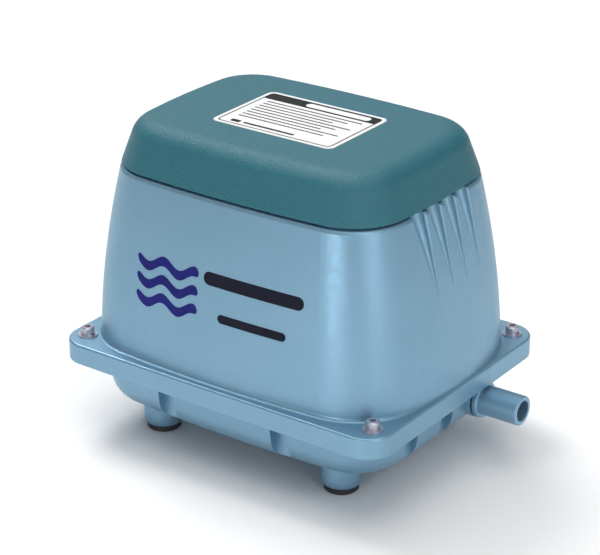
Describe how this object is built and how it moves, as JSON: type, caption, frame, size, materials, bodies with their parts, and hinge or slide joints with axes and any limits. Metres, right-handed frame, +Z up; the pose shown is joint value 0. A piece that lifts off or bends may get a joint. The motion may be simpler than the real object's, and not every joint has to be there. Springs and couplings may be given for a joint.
{
  "type": "linear diaphragm air pump",
  "caption": "Free-standing electromagnetic air pump: textured filter cover, tapered bolted casing, pan with legs and rubber feet, and a side hose outlet.",
  "frame": {"origin": "on the floor plane under the middle of the whole pump's box, outlet included", "axes": "+Z up, +X along the casing towards the outlet, front faces -Y"},
  "size_m": [0.2693, 0.1922, 0.2109],
  "materials": {
    "housing_paint": "satin enamel",
    "cover_plastic": "fine texture",
    "label_film": "satin film",
    "filter_foam": "open-cell foam",
    "black_rubber": "matt",
    "bolt_steel": "zinc plated",
    "cast_aluminium": "as cast",
    "core_steel": "laminated",
    "copper_wire": "enamelled",
    "bobbin_plastic": "moulded",
    "black_plastic": "moulded",
    "magnet_ferrite": "ground",
    "rod_steel": "ground",
    "terminal_brass": "turned"
  },
  "bodies": {
    "housing": {"upper_housing": "housing_paint", "housing_gasket": "black_rubber", "lower_housing": "housing_paint", "rubber_feet": "black_rubber", "flat_washers": "bolt_steel", "spring_washers": "bolt_steel", "flange_bolts": "bolt_steel", "outlet_pipe": "housing_paint", "outlet_seal": "black_rubber", "cable_gland": "black_plastic", "tank_cover": "cast_aluminium", "tank_gasket": "black_rubber", "tank_screws": "bolt_steel", "vibration_mounts": "black_rubber", "mount_screws": "bolt_steel", "pump_frame": "cast_aluminium", "stator_cores": "core_steel", "coil_bobbins": "bobbin_plastic", "coil_windings": "copper_wire", "head_screws": "bolt_steel", "flap_strips": "rod_steel", "tube_clamps": "bolt_steel", "lever_pin": "rod_steel", "stop_switch": "black_plastic", "terminal_block": "bobbin_plastic", "terminal_screws": "terminal_brass", "right_diaphragm": "black_rubber", "right_clamp_ring": "cast_aluminium", "right_valve_chamber": "cast_aluminium", "right_head_gasket": "black_rubber", "right_head_cover": "cast_aluminium", "right_air_tube": "black_rubber", "left_diaphragm": "black_rubber", "left_clamp_ring": "cast_aluminium", "left_valve_chamber": "cast_aluminium", "left_head_gasket": "black_rubber", "left_head_cover": "cast_aluminium", "left_air_tube": "black_rubber"},
    "cover": {"filter_cover": "cover_plastic", "top_label": "label_film"},
    "filter": {"filter_element": "filter_foam"},
    "armature": {"armature_rod": "rod_steel", "magnet_holder": "bobbin_plastic", "magnets": "magnet_ferrite", "diaphragm_plates": "cast_aluminium", "rod_nuts": "bolt_steel"},
    "switch_lever": {"stop_lever": "black_plastic"},
    "right_suction_valve": {"right_suction_flap": "black_rubber"},
    "right_delivery_valve": {"right_delivery_flap": "black_rubber"},
    "left_suction_valve": {"left_suction_flap": "black_rubber"},
    "left_delivery_valve": {"left_delivery_flap": "black_rubber"}
  },
  "joints": [
    {"name": "cover_lift", "type": "slide", "parent": "housing", "child": "cover", "axis": [0, 0, 1], "range_m": [0, 0.08]},
    {"name": "filter_lift", "type": "slide", "parent": "housing", "child": "filter", "axis": [0, 0, 1], "range_m": [0, 0.036]},
    {"name": "armature_stroke", "type": "slide", "parent": "housing", "child": "armature", "axis": [1, 0, 0], "range_m": [-0.003, 0.003], "stiffness_N_per_m": 16000, "deforming": ["right_diaphragm", "left_diaphragm"]},
    {"name": "right_suction_valve_swing", "type": "hinge", "parent": "housing", "child": "right_suction_valve", "pos_m": [0.06635, -0.018, 0.121], "axis": [0, 1, 0], "range_deg": [0, 15], "stiffness_Nm_per_rad": 0.001},
    {"name": "right_delivery_valve_swing", "type": "hinge", "parent": "housing", "child": "right_delivery_valve", "pos_m": [0.07035, 0.018, 0.121], "axis": [0, -1, 0], "range_deg": [0, 15], "stiffness_Nm_per_rad": 0.001},
    {"name": "left_suction_valve_swing", "type": "hinge", "parent": "housing", "child": "left_suction_valve", "pos_m": [-0.08965, -0.018, 0.121], "axis": [0, -1, 0], "range_deg": [0, 15], "stiffness_Nm_per_rad": 0.001},
    {"name": "left_delivery_valve_swing", "type": "hinge", "parent": "housing", "child": "left_delivery_valve", "pos_m": [-0.09365, 0.018, 0.121], "axis": [0, 1, 0], "range_deg": [0, 15], "stiffness_Nm_per_rad": 0.001},
    {"name": "stop_lever_swing", "type": "hinge", "parent": "housing", "child": "switch_lever", "pos_m": [-0.01165, 0, 0.14], "axis": [0, -1, 0], "range_deg": [-12, 12], "stiffness_Nm_per_rad": 0.002}
  ],
  "couplings": [
    {"joint": "filter_lift", "follows": "cover_lift", "ratio": 0.45}
  ]
}
